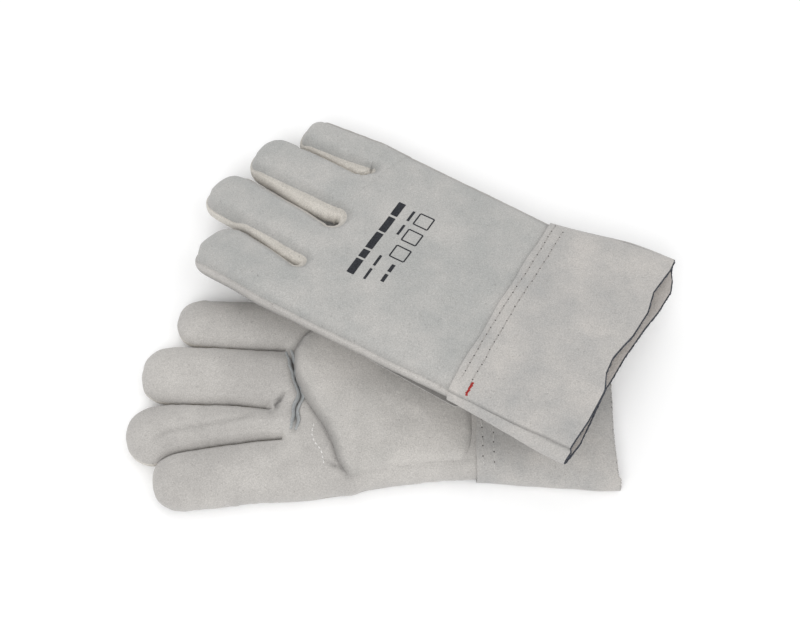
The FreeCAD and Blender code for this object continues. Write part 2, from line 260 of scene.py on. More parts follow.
def distance_to(line, points):
    """The distance from each point to a line of straight runs."""
    a, edge = line[:-1], np.diff(line, axis=0)
    length2 = np.maximum((edge**2).sum(axis=1), 1e-12)
    out = np.empty(len(points))
    for start in range(0, len(points), 400):
        to = points[start : start + 400, None, :] - a[None]
        t = np.clip((to * edge[None]).sum(axis=2) / length2, 0, 1)
        out[start : start + 400] = np.sqrt(((to - t[..., None] * edge[None]) ** 2).sum(axis=2)).min(axis=1)
    return out


def inside(polygon, points):
    """Which points lie inside a closed polygon."""
    a, b = polygon, np.roll(polygon, -1, axis=0)
    x, y = points[:, 0, None], points[:, 1, None]
    crosses = (a[:, 1] > y) != (b[:, 1] > y)
    run = np.where(b[:, 1] == a[:, 1], 1e-12, b[:, 1] - a[:, 1])
    at = a[:, 0] + (y - a[:, 1]) / run * (b[:, 0] - a[:, 0])
    return (crosses & (x < at)).sum(axis=1) % 2 == 1


def fill(boundary, dividers=(), rings=(0.8, 2.0)):
    """Triangles over a closed boundary. The dividers are lines across it that edges must follow."""
    polygon = np.asarray(boundary)
    fixed = [np.asarray(d)[1:-1] for d in dividers]
    walls = np.vstack([polygon, polygon[:1]])
    normals = outward(walls)[:-1]
    rows = []
    for depth in rings:
        ring = polygon - normals * depth
        keep = inside(polygon, ring) & (distance_to(walls, ring) > 0.8 * depth)
        rows.append(ring[keep])
    low, high = polygon.min(axis=0), polygon.max(axis=0)
    xs = np.arange(low[0], high[0], STEP)
    ys = np.arange(low[1], high[1], STEP * 0.866)
    grid = np.array([(x + (j % 2) * STEP / 2, y) for j, y in enumerate(ys) for x in xs])
    grid = grid[inside(polygon, grid)]
    grid = grid[distance_to(walls, grid) > (rings[-1] + 0.9 if rings else 0.7)]
    loose = np.vstack(rows + [grid])
    for divider in dividers:
        loose = loose[distance_to(np.asarray(divider), loose) > 0.7]
    points = np.vstack([polygon] + fixed + [loose])
    count = len(polygon)
    edges = [(k, (k + 1) % count) for k in range(count)]
    start = count
    for divider, middle in zip(dividers, fixed):
        ends = [nearest(polygon, divider[e]) for e in (0, -1)]
        chain = [ends[0]] + list(range(start, start + len(middle))) + [ends[1]]
        edges += list(zip(chain[:-1], chain[1:]))
        start += len(middle)
    result = geometry.delaunay_2d_cdt([Vector(p) for p in points], edges, [], 1, 1e-5)
    flat = np.array([v[:] for v in result[0]])
    faces = np.array(result[2])
    corner = flat[faces]
    area = np.cross(corner[:, 1] - corner[:, 0], corner[:, 2] - corner[:, 0])
    faces[area < 0] = faces[area < 0][:, ::-1]
    return flat, faces


# ---- shells


class Shell:
    """A leather surface: points in the glove's frame, faces, and the panel and region of each face."""

    def __init__(self):
        self.points = np.empty((0, 3))
        self.shade = np.empty(0)
        self.faces = []
        self.panels = []
        self.regions = []
        self.panel_normals = {}

    def add_points(self, points, shade=1.0):
        start = len(self.points)
        self.points = np.vstack([self.points, points])
        self.shade = np.concatenate([self.shade, np.broadcast_to(shade, len(points))])
        return np.arange(start, start + len(points))

    def add_face(self, corners, panel, region):
        self.faces.append(tuple(int(c) for c in corners))
        self.panels.append(panel)
        self.regions.append(region)

    def normals(self, panel):
        """Area-weighted normals of the points of one panel, so that its parts shade as one."""
        if panel in self.panel_normals:
            return self.panel_normals[panel]
        out = np.zeros_like(self.points)
        for face, name in zip(self.faces, self.panels):
            if name != panel:
                continue
            p = self.points[list(face)]
            n = np.cross(p[1] - p[0], p[2] - p[0])
            if len(face) == 4:
                n = n + np.cross(p[2] - p[0], p[3] - p[0])
            for corner in face:
                out[corner] += n
        length = np.linalg.norm(out, axis=1)
        out[length > 0] /= length[length > 0][:, None]
        self.panel_normals[panel] = out
        return out

    def piece(self, name, glove, panel, region, material):
        """The faces of one panel in one region, as a Blender object in the row frame."""
        faces = [f for f, p, r in zip(self.faces, self.panels, self.regions) if p == panel and r == region]
        used = sorted({c for f in faces for c in f})
        index = {old: new for new, old in enumerate(used)}
        points = glove.place(self.points[used])
        normals = self.normals(panel)[used] @ glove.rotation.T
        mesh = bpy.data.meshes.new(name)
        mesh.from_pydata(points.tolist(), [], [[index[c] for c in f] for f in faces])
        mesh.polygons.foreach_set("use_smooth", [True] * len(mesh.polygons))
        mesh.normals_split_custom_set_from_vertices(normals.tolist())
        return new_object(name, mesh, material, self.shade[used])


def new_object(name, mesh, material, shade=None):
    """An object with one material. Its shade is painted shade: how much darker each point is drawn in seams,
    creases and gaps.
    """
    values = np.ones(len(mesh.vertices)) if shade is None else np.asarray(shade)
    layer = mesh.color_attributes.new("shade", "FLOAT_COLOR", "POINT")
    layer.data.foreach_set("color", np.repeat(values, 4).astype(np.float32))
    obj = bpy.data.objects.new(name, mesh)
    bpy.context.scene.collection.objects.link(obj)
    mesh.materials.append(material)
    return obj


def dome(distance, reach):
    """0 at a seam, 1 from `reach` on, with no edge between."""
    t = np.clip(distance / reach, 0, 1)
    return np.sqrt(np.clip(1 - (1 - t) ** 2, 0, 1))


def step_up(value, low, high):
    t = np.clip((value - low) / (high - low), 0, 1)
    return t * t * (3 - 2 * t)


def ripple(points, size, seed):
    """Smooth noise at the given points, flat or not, from -1 to 1."""
    if points.shape[1] == 2:
        points = at_height(points)
    offset = Vector((seed * 7.3, seed * 3.1, seed * 1.7))
    return np.array([noise.noise(Vector(p) / size + offset) for p in points])


def tip_share(glove, flat, low=0.0, high=0.9):
    """1 at the very tip of a finger and 0 on the rest of the glove. The limits are in half widths."""
    share = np.zeros(len(flat))
    for finger in glove.fingers:
        out = (flat - np.asarray(finger.tip)) @ finger.along / finger.half_tip
        beside = np.abs((flat - np.asarray(finger.tip)) @ finger.across) / finger.half_tip
        share = np.maximum(share, step_up(out, low, high) * (beside < 1.3))
    return share


def right_seams(glove, flat):
    """The heights of the right glove's upper and lower seams."""
    upper = 5.0 - 4.6 * tip_share(glove, flat)
    thin = step_up(flat[:, 1], 30, 60) * (1 - 0.45 * step_up(flat[:, 0], 95, 125))
    return upper, -5.4 + 4.0 * thin


def right_side(bulge, upper, lower):
    """A side of the right glove: a strip on edge between two seams, (out, height) for each row."""
    turns = np.pi * np.arange(ROWS) / (ROWS - 1)
    out = bulge * np.sin(turns) ** (0.6 + 0.4 * min(1, bulge / 8))
    out[[0, -1]] = 0
    height = (upper + lower) / 2 + (upper - lower) / 2 * np.cos(turns)
    return out, height


LEFT_REACH = 17.0  # how far in from its side a puffed finger of the left glove reaches full height
LEFT_WIDEST = -1.0
LEFT_RISE = 10.3


def left_side(bulge, full):
    """A side of the left glove: the palm's leather rolls over the edge and down to the back's seam."""
    half = ROWS // 2
    start = math.acos(1 - full / LEFT_REACH)
    upper = np.linspace(start, 0, half + 1)
    out_upper = (full - LEFT_REACH * (1 - np.cos(upper))) * bulge / full
    height_upper = LEFT_WIDEST + LEFT_RISE * np.sin(upper)
    lower = np.linspace(0, math.pi / 2, ROWS - half)[1:]
    out_lower = bulge * np.cos(lower) ** 0.6
    height_lower = LEFT_WIDEST - (GLOVE_HALF + LEFT_WIDEST - 0.2) * np.sin(lower)
    out = np.concatenate([out_upper, out_lower])
    height = np.concatenate([height_upper, height_lower])
    return out, height


def side_panel(glove, zone, row):
    """Which leather piece covers a face of the side."""
    between = zone in (1, 2, 3)
    if glove.palm_up:
        if between:
            return "palm" if row < 5 else "strip" if row < 10 else "back"
        return "palm" if row < 10 else "back"
    return "strip" if between else "palm"


def top_height(glove, flat, distance):
    """The height of the upper panel."""
    x, y = flat[:, 0], flat[:, 1]
    if glove.palm_up:
        t = np.clip((distance + glove.bulge) / LEFT_REACH, 0, 1)
        return LEFT_WIDEST + LEFT_RISE * np.sqrt(1 - (1 - t) ** 2)
    on_finger = step_up(x, 100, 130)
    tip = tip_share(glove, flat)
    seam, _ = right_seams(glove, flat)
    lip = 1.0 * (1 - tip)
    crown = 9.0 + 1.4 * on_finger - seam - lip
    back_of_hand = 1.8 * (1 - on_finger) * np.clip(1 - (y / 68) ** 2, 0, 1)
    return seam + lip * dome(distance, 1.3) + crown * dome(distance, 14.0 - 3.0 * tip) ** 0.9 + back_of_hand


def bottom_height(glove, flat, distance):
    """The height of the lower panel: the left glove's lies on the table, the right glove's sags."""
    if glove.palm_up:
        return -GLOVE_HALF + 0.2 * np.exp(-distance)
    seam = right_seams(glove, flat)[1]
    sag = 1.4 * dome(distance, 20.0) * step_up(-flat[:, 1], -60, 10)
    return seam - 0.8 * dome(distance, 1.3) - 1.4 * dome(distance, 14.0) - sag


def groove(points, line, depth, width):
    """How far a crease along a line lowers each point, fading at the line's ends."""
    line = even(rounded(line), 1.0)
    away = distance_to(line, points)
    ends = np.minimum(*(np.linalg.norm(points - end, axis=1) for end in (line[0], line[-1])))
    return depth * np.exp(-((away / width) ** 2)) * (0.35 + 0.65 * step_up(ends, 0, 5 * width))


# Creases on the upper panel: the line, the depth, the half width and how dark its painted shade is. A depth
# below 0 is a ridge.
CREASES = {
    "right": [
        ([(104, 30), (94, 20), (88, 8)], 0.35, 5.0, 0),
        ([(98, -8), (84, -14), (70, -16)], 0.30, 6.0, 0),
        ([(6, 62), (20, 52), (40, 44)], 0.45, 5.0, 0),
        ([(4, -60), (22, -46), (44, -40)], 0.40, 6.0, 0),
        ([(136, -20), (128, -30), (118, -36)], 0.30, 4.0, 0),
        ([(150, 42), (138, 46), (126, 47)], 0.40, 4.0, 0),
    ],
    "left": [
        ([(179, 43), (174, 38.5), (166, 36.5), (151, 34), (137, 31), (124, 27.5)], 1.3, 1.5, 0.14),
        ([(176, 50), (171, 45), (162, 43.5)], 1.2, 2.4, 0.10),
        ([(116.5, 25.2), (112.5, 21.5), (108.5, 15.2)], 3.0, 1.5, 0.85),
        ([(70, 61.5), (53, 59.5), (32, 56.4), (0, 54.6)], 0.5, 1.3, 0.12),
        ([(100, 36), (94, 46), (88, 58)], 0.8, 3.0, 0.05),
        ([(96, 28), (92, 38), (84, 48)], -0.7, 3.0, 0),
        ([(110, 60), (98, 54), (90, 44)], 0.7, 4.5, 0.03),
        ([(83, 56.5), (79, 58.3), (75, 60)], 1.6, 1.3, 0.45),
        ([(150, -4), (135, 6), (124, 10)], 0.5, 4.0, 0),
        ([(168, 8), (150, 12), (132, 10)], 0.4, 3.0, 0),
        ([(160, -36), (146, -30), (130, -30)], 0.5, 4.0, 0.02),
        ([(112, 44), (122, 50), (140, 54)], 0.4, 5.0, 0.02),
    ],
}

# Where the palm's leather ends in a fold below the left glove's middle and ring fingers.
CREASE_SEAM = [(107, -12), (104.5, -5), (103, 4), (100, 11.5), (98.5, 17), (102, 24), (101, 30), (102.5, 37)]

# The outline of the left thumb and the heel of the palm: its free edge, and the one sewn to the hand.
LOBE_FREE = [
    (70, 65), (74, 60), (78, 54), (79.5, 47), (84.5, 36), (90.8, 26.5), (98.5, 15.4), (102.5, 6), (104, -4),
    (103.6, -12), (98.5, -20), (89.5, -27), (76, -31), (60, -29), (46, -22), (34, -12),
    (24, 0), (14, 10), (3, 16),
]
LOBE_SEWN = [(3, 54.5), (20, 55.4), (32, 56.4), (55, 60), (66, 63.5)]
LOBE_TOP = LOBE_FREE[:12]  # the part of the free edge that faces the fingers

# Creases on the thumb: the line, the depth, the half width and how dark its painted shade is.
THUMB_CREASES = [
    ([(96, 20), (86, 26), (74, 30)], 0.25, 4.0, 0),
    ([(60, 52), (40, 46), (20, 44)], 0.35, 5.0, 0.02),
]


def relief(glove, flat):
    """Dents and folds of soft leather on the upper panel, as (height, painted shade in the creases and
    folds).
    """
    total, shade = np.zeros(len(flat)), np.ones(len(flat))
    for line, depth, width, dark in CREASES[glove.hand]:
        total -= groove(flat, line, depth, width)
        # painted shade in each crease
        shade -= groove(flat, line, dark, 0.8 * width)
    if glove.palm_up:
        total -= groove(flat, CREASE_SEAM, 2.8, 1.9)
        # painted shade along the fold of the palm seam
        shade -= groove(flat, CREASE_SEAM, 0.5, 1.5)
        total -= groove(flat, [(x + 7.5, y) for x, y in CREASE_SEAM], -1.3, 5.0)
        total -= groove(flat, LOBE_TOP, 1.2, 2.0)
        # painted shade on the palm along the thumb's free edge
        shade -= groove(flat, LOBE_TOP, 0.45, 1.2)
    return total, np.clip(shade, 0.25, 1)


BEND_SPAN = 26.0  # the length over which a drooping finger bends


def bend_fingers(glove, points, owners):
    """Each drooping finger bends down from its root. The owners say which finger a point is on."""
    out = points.copy()
    for number, finger in enumerate(glove.fingers):
        if not finger.droop:
            continue
        to = out[:, :2] - np.asarray(finger.root)
        along = to @ finger.along
        across = to @ finger.across
        mine = (along > 0) & (owners == number)
        s, z = along[mine], out[mine, 2]
        bend = math.radians(finger.droop)
        angle = bend * np.clip(s / BEND_SPAN, 0, 1)
        rest = np.maximum(s - BEND_SPAN, 0)
        forward = BEND_SPAN / bend * np.sin(angle) + rest * math.cos(bend) + z * np.sin(angle)
        down = BEND_SPAN / bend * (1 - np.cos(angle)) + rest * math.sin(bend)
        flat = np.asarray(finger.root) + forward[:, None] * finger.along
        out[mine, :2] = flat + across[mine][:, None] * finger.across
        out[mine, 2] = z * np.cos(angle) - down
    return out


def wave(glove, points):
    """Slow waves that move both faces of a glove together."""
    out = points.copy()
    seed = 3 if glove.palm_up else 8
    slow = ripple(points[:, :2], 46.0, seed)
    quick = ripple(points, 17.0, seed + 20)
    fine = ripple(points, 7.0, seed + 40)
    lift = 1.0 * slow + 0.5 * quick + 0.16 * fine
    if glove.palm_up:
        lift *= step_up(points[:, 2], -6.0, 4.0)
    out[:, 2] += lift
    out[:, 1] += 0.5 * quick
    return out


ROOM = 0.495  # the most of the room beside a seam that its side may fill


def side_bulge(glove, line, zones, share, room):
    """How far the side of a glove stands out at each outline point."""
    wanted = np.full(len(line), glove.bulge)
    if not glove.palm_up:
        full = step_up(share, 0.3, 0.7) * ((zones > 0) & (zones < 4))
        wanted += 5.0 * full * (1 - tip_share(glove, line, -2.6, 0.1))
        wanted -= 1.8 * tip_share(glove, line) + 1.4 * (zones == 0) * (1 - tip_share(glove, line))
    bulge = np.minimum(smooth_values(wanted, 6), 0.49 * room)
    return np.minimum(smooth_values(bulge, 4), ROOM * room)


def finger_spans(glove, line, zones):
    """The first and the last outline point of each finger's own pieces."""
    spans = {}
    for k, finger in enumerate(glove.fingers):
        beyond = line[:, 0] < glove.split_at[finger.name]
        tip = nearest(line, finger.end()[5])
        near = [i for i in range(tip) if zones[i] == k and beyond[i]]
        far = [i for i in range(tip + 1, len(line)) if zones[i] == k + 1 and beyond[i]]
        spans[finger.name] = [near[-1], far[0]]
    return spans


def hand_shell(glove):
    """The hand and the fingers of a glove as one surface, split at each finger's root."""
    line, zones, fingers, share = seam_outline(glove)
    normals = outward(line)
    room = room_beside(line, normals) * smooth_values(share, 8) / 0.5
    bulge = side_bulge(glove, line, zones, share, room)
    spans = finger_spans(glove, line, zones)
    wrist = even(line[[-1, 0]], STEP)[1:-1]
    flat, faces = fill(np.vstack([line, wrist])[::-1], [even(line[span], STEP) for span in spans.values()])
    chain = [nearest(flat, p) for p in line]
    distance = distance_to(line, flat)
    middles = flat[faces].mean(axis=1)
    region = np.array(["hand"] * len(faces), dtype=object)
    for name, (first, last) in spans.items():
        region[inside(line[first : last + 1], middles)] = name

    shell = Shell()
    height, shade = relief(glove, flat)
    top_z = top_height(glove, flat, distance) + height * dome(distance, 3.0)
    # painted shade along the seam lines of the right glove's upper panel
    seam_painted_shade = 0.0 if glove.palm_up else 0.15
    top = shell.add_points(at_height(flat, top_z), shade - seam_painted_shade * np.exp(-((distance / 0.7) ** 2)))
    bottom = shell.add_points(at_height(flat, bottom_height(glove, flat, distance)))
    upper, lower = ("palm", "back") if glove.palm_up else ("back", "palm")
    for face, name in zip(faces, region):
        shell.add_face(top[face], upper, name)
        shell.add_face(bottom[face[::-1]], lower, name)

    pucker = 1 + 0.10 * ripple(line, 3.5, 5)
    rows = [[top[c] for c in chain]]
    if glove.palm_up:
        profile = [left_side(b, glove.bulge) for b in bulge]
    else:
        profile = [right_side(b, up, low) for b, up, low in zip(bulge, *right_seams(glove, line))]
    for row in range(1, ROWS - 1):
        out = np.array([p[0][row] for p in profile]) * pucker
        height = np.array([p[1][row] for p in profile])
        side = line + normals * np.minimum(out, ROOM * room)[:, None]
        # painted shade on the sides: on the left glove along row 9, where the palm's leather meets the back;
        # on the right glove along the row below the top seam, and a painted shadow that grows downwards on
        # the near side, under the hand's edge
        if glove.palm_up:
            painted_shade = 1 - 0.3 * (row == 9)
        else:
            painted_shade = 1 - 0.12 * (row == 1) - 0.13 * max(0, row - 5) * (zones == 0)
        rows.append(shell.add_points(at_height(side, height), painted_shade))
    rows.append([bottom[c] for c in chain])
    owner = ["hand"] * len(line)
    for name, (first, last) in spans.items():
        owner[first:last] = [name] * (last - first)
    for row in range(ROWS - 1):
        for k in range(len(line) - 1):
            corners = (rows[row][k], rows[row][k + 1], rows[row + 1][k + 1], rows[row + 1][k])
            shell.add_face(corners, side_panel(glove, zones[k], row), owner[k])
    if glove.palm_up:  # the underside rises at the wrist, where the cuff's leather goes under it
        low = np.clip((-2 - shell.points[:, 2]) / 6, 0, 1)
        shell.points[:, 2] += 1.8 * low * (1 - step_up(shell.points[:, 0], 6, 30))
        shell.points[:, 2] = np.maximum(shell.points[:, 2], 0.1 - GLOVE_HALF)
    owners = np.full(len(flat), -1)
    for number in range(len(glove.fingers)):
        owners[inside(line[fingers == number], flat)] = number
    owners[chain] = fingers
    owners = np.concatenate([owners, owners, np.tile(fingers, ROWS - 2)])
    shell.points = bend_fingers(glove, wave(glove, shell.points), owners)
    return shell


# ---- materials


class Shading:
    """A new material and the nodes that feed its shader."""

    def __init__(self, name, roughness, specular):
        self.material = bpy.data.materials.new(name)
        self.material.use_nodes = True
        self.nodes, self.links = self.material.node_tree.nodes, self.material.node_tree.links
        self.shader = self.nodes["Principled BSDF"]
        self.shader.inputs["Roughness"].default_value = roughness
        self.shader.inputs["Specular IOR Level"].default_value = specular
        self.where = self.nodes.new("ShaderNodeTexCoord").outputs["Object"]

    def noise(self, scale, detail, rough):
        node = self.nodes.new("ShaderNodeTexNoise")
        for label, value in (("Scale", scale), ("Detail", detail), ("Roughness", rough)):
            node.inputs[label].default_value = value
        self.links.new(self.where, node.inputs["Vector"])
        return node.outputs["Fac"]

    def ramp(self, source, low, high, dark, light):
        node = self.nodes.new("ShaderNodeValToRGB")
        for element, position, colour in zip(node.color_ramp.elements, (low, high), (dark, light)):
            element.position = position
            element.color = (*colour, 1)
        self.links.new(source, node.inputs["Fac"])
        return node.outputs["Color"]

    def multiply(self, factor, a, b):
        node = self.nodes.new("ShaderNodeMix")
        node.data_type = "RGBA"
        node.blend_type = "MULTIPLY"
        node.inputs["Factor"].default_value = factor
        self.links.new(a, node.inputs["A"])
        self.links.new(b, node.inputs["B"])
        return node.outputs["Result"]

    def bump(self, source, strength, distance, over=None):
        node = self.nodes.new("ShaderNodeBump")
        node.inputs["Strength"].default_value = strength
        node.inputs["Distance"].default_value = distance
        self.links.new(source, node.inputs["Height"])
        if over:
            self.links.new(over, node.inputs["Normal"])
        return node.outputs["Normal"]

    def finish(self, colour, normal):
        self.links.new(colour, self.shader.inputs["Base Color"])
        self.links.new(normal, self.shader.inputs["Normal"])
        return self.material


def suede(name, colour, second, nap, mottle=0.5):
    """Split leather: soft patches of two tints, dark pores, a fuzzy nap, a faint sheen and each point's
    painted shade.
    """
    made = Shading(name, 0.92, 0.12)
    made.shader.inputs["Sheen Weight"].default_value = 0.25
    made.shader.inputs["Sheen Roughness"].default_value = 0.6
    patches = made.ramp(made.noise(34, 6, 0.6), 0.5 - 0.25 * mottle, 0.5 + 0.25 * mottle, colour, second)
    grain = made.ramp(made.noise(1500, 3, 0.7), 0.30, 0.70, (0.74, 0.74, 0.74), (1.15, 1.15, 1.15))
    pores = made.ramp(made.noise(620, 2, 0.5), 0.24, 0.33, (0.70, 0.69, 0.68), (1, 1, 1))
    # painted shade: the colour is multiplied by the shade attribute, darker in seams, creases and gaps
    painted_shade = made.nodes.new("ShaderNodeVertexColor")
    painted_shade.layer_name = "shade"
    tinted = made.multiply(0.8, made.multiply(1.0, patches, grain), pores)
    lumps = made.bump(made.noise(330, 4, 0.6), 0.32 * nap, 0.0012)
    fuzz = made.bump(made.noise(2200, 4, 0.75), 0.45 * nap, 0.0003, lumps)
    return made.finish(made.multiply(1.0, tinted, painted_shade.outputs["Color"]), fuzz)


def plain(name, colour, roughness=0.8, fibre=900):
    """Thread, ink, a raw cut edge that is partly painted shade, or the painted shade of a needle hole: one
    colour broken up by fine fibres.
    """
    made = Shading(name, roughness, 0.2)
    fibres = made.noise(fibre, 3, 0.5)
    dark, light = [0.6 * c for c in colour], [min(1, 1.25 * c) for c in colour]
    return made.finish(made.ramp(fibres, 0.35, 0.65, dark, light), made.bump(fibres, 0.4, 0.0002))


MATERIALS = {
    "back": suede("back_suede", (0.375, 0.377, 0.366), (0.448, 0.438, 0.421), nap=0.8),
    "palm": suede("palm_suede", (0.415, 0.399, 0.381), (0.485, 0.467, 0.444), nap=0.9),
    "strip": suede("strip_suede", (0.560, 0.528, 0.480), (0.640, 0.608, 0.556), nap=2.4),
    "cuff": suede("cuff_suede", (0.372, 0.368, 0.360), (0.490, 0.468, 0.444), nap=1.3, mottle=0.7),
    "thumb": suede("thumb_suede", (0.430, 0.416, 0.396), (0.505, 0.485, 0.460), nap=1.0),
    "inside": suede("inside_suede", (0.470, 0.440, 0.415), (0.560, 0.525, 0.495), nap=1.2),
    "seam_edge": suede("seam_edge_suede", (0.300, 0.315, 0.320), (0.390, 0.400, 0.398), nap=1.0),
    # near black: the raw edge's own dark colour and painted shade from inside the cuff's mouth
    "raw_edge_and_shade": plain("raw_edge", (0.055, 0.060, 0.072)),
    "thread": plain("thread", (0.50, 0.49, 0.47), fibre=2500),
    "light_thread": plain("light_thread", (0.70, 0.69, 0.67), fibre=2500),
    "dull_thread": plain("dull_thread", (0.40, 0.385, 0.365), fibre=2500),
    "red": plain("red_thread", (0.35, 0.035, 0.03), fibre=2500),
    # painted shade of needle holes
    "hole": plain("needle_hole", (0.10, 0.095, 0.09)),
    "ink": plain("printed_ink", (0.025, 0.027, 0.032), 0.7),
}


# ---- assembly

SLOTS = {"back": "back_leather", "palm": "palm_leather", "strip": "strip_leather"}
FINGER_NODES = {"back": "back", "palm": "front", "strip": "side_strip"}
HAND_NODES = {
    "back": ["back_panel"],
    "palm": ["palm_panel", "middle_ring_front"],
    "strip": ["fourchette_index_middle", "fourchette_middle_ring", "fourchette_ring_little"],
}
BEND_START, BEND_END = 1.5, 17.0  # distances from the start of a finger's pieces; finish_hand finds the points there but nothing uses them


def tie(piece, body, slot, *nodes):
    """Makes a piece ride on a body and stand for CAD nodes by hiding them. The slot is not used."""
    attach(piece, body)
    if nodes:
        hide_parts(*nodes)


def finish_hand(glove, shell):
    """Makes the pieces of a hand and its fingers. It ties the hand's pieces to the hand's body; the fingers'
    pieces are baked in place and tied to no body.
    """
    hand_body = f"{glove.hand}_hand"
    for panel, nodes in HAND_NODES.items():
        piece = shell.piece(f"{glove.hand}_{panel}_hand", glove, panel, "hand", MATERIALS[panel])
        tie(piece, hand_body, SLOTS[panel], *(f"{glove.hand}_{node}" for node in nodes))
    for finger in glove.fingers:
        along = np.array([*finger.along, 0.0])
        root = np.array([*finger.root, 0.0])
        root = root + along * (glove.split_at[finger.name] - root[0]) / along[0]
        start, end = (tuple(glove.place(root + along * at)) for at in (BEND_START, BEND_END))
        for panel, side in FINGER_NODES.items():
            node = f"{glove.hand}_{finger.name}_{side}"
            piece = shell.piece(f"{node}_leather", glove, panel, finger.name, MATERIALS[panel])
            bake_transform(piece)
            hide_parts(node)


# ---- cuffs

CUFF_SLACK = 0.25  # room between the hand and the cuff round it
STATIONS = 54  # sections along a cuff
TOP_COUNT = 81  # points across a section's top, and across its bottom
WRIST_X = 5.0  # how far past the wrist the cuff still takes its section from the hand's shape


@dataclass
class Mouth:
    """The open end of a cuff: how far out its sides are, its height there and the shape of its edges."""

    near: float
    far: float
    side: tuple  # how far the near side stands out from its seam, at the wrist and at the mouth
    lap: tuple  # x of the lap over the wrist, at the near side and at the far side
    flat: float  # the cuff's height at the mouth, over its height at the wrist
    top_ends: list  # (y, x) along the upper edge
    bottom_ends: list  # the same along the lower edge
    ruffle: float  # how high the ripples at the mouth are


MOUTHS = {
    "right": Mouth(
        near=69.0,
        far=-74.5,
        side=(0.6, 6.0),
        lap=(0.5, 3.5),
        flat=0.52,
        top_ends=[
            (-82, -68), (-74.5, -70.3), (-66, -71), (-46, -69), (-30, -72), (-12, -71), (7, -67.5),
            (18, -68.5), (29, -72.5), (51, -73), (70, -71.5), (84, -72),
        ],
        bottom_ends=[
            (-82, -68), (-74.5, -70.3), (-69, -73.5), (-60, -76), (-45, -75.5), (-30, -73.5), (-5, -71.5),
            (20, -71), (60, -74), (84, -71),
        ],
        ruffle=1.8,
    ),
    "left": Mouth(
        near=62.0,
        far=-72.0,
        side=(5.0, 5.0),
        lap=(0.5, 0.5),
        flat=0.62,
        top_ends=[(-80, -76), (-40, -75), (0, -77), (40, -76), (62, -77.5), (72, -76.5)],
        bottom_ends=[(-80, -77), (-20, -75.5), (30, -78), (72, -79)],
        ruffle=0.9,
    ),
}


def loop_section(glove, x, near, far, near_bulge):
    """The line round the hand at x as (y, z): top, far side, bottom, near side. It has no end point."""
    v = (1 - np.cos(np.linspace(0, np.pi, TOP_COUNT))) / 2
    v = 0.5 * v + 0.5 * np.linspace(0, 1, TOP_COUNT)
    y = near + (far - near) * v
    distance = np.minimum(near - y, y - far)
    flat = np.column_stack([np.full(len(y), x), y * HAND_HALF / max(near, -far)])
    top = top_height(glove, flat, distance)
    bottom = bottom_height(glove, flat, distance)
    sides = []
    for edge, place, bulge in ((far, -HAND_HALF, glove.bulge), (near, HAND_HALF, near_bulge)):
        if glove.palm_up:
            out, height = left_side(bulge, glove.bulge)
        else:
            upper, lower = right_seams(glove, np.array([[x, place]]))
            out, height = right_side(bulge, upper[0], lower[0])
        sides.append(np.column_stack([edge + np.sign(edge) * out, height])[1:-1])
    upper_line = np.column_stack([y, top])
    lower_line = np.column_stack([y, bottom])[::-1]
    return np.vstack([upper_line, sides[0], lower_line, sides[1][::-1]])


def pushed_out(loop, by):
    """A closed (y, z) line moved outwards by a distance."""
    along = np.roll(loop, -1, axis=0) - np.roll(loop, 1, axis=0)
    along /= np.maximum(np.linalg.norm(along, axis=1), 1e-9)[:, None]
    return loop + by * np.stack([along[:, 1], -along[:, 0]], axis=1)


LAP_ACROSS = (-66, 66)  # the y of the far and the near side, between which the lap's x changes


def lap_at(glove, y):
    """The x of the cuff's lap over the wrist."""
    return np.interp(y, LAP_ACROSS, MOUTHS[glove.hand].lap[::-1])


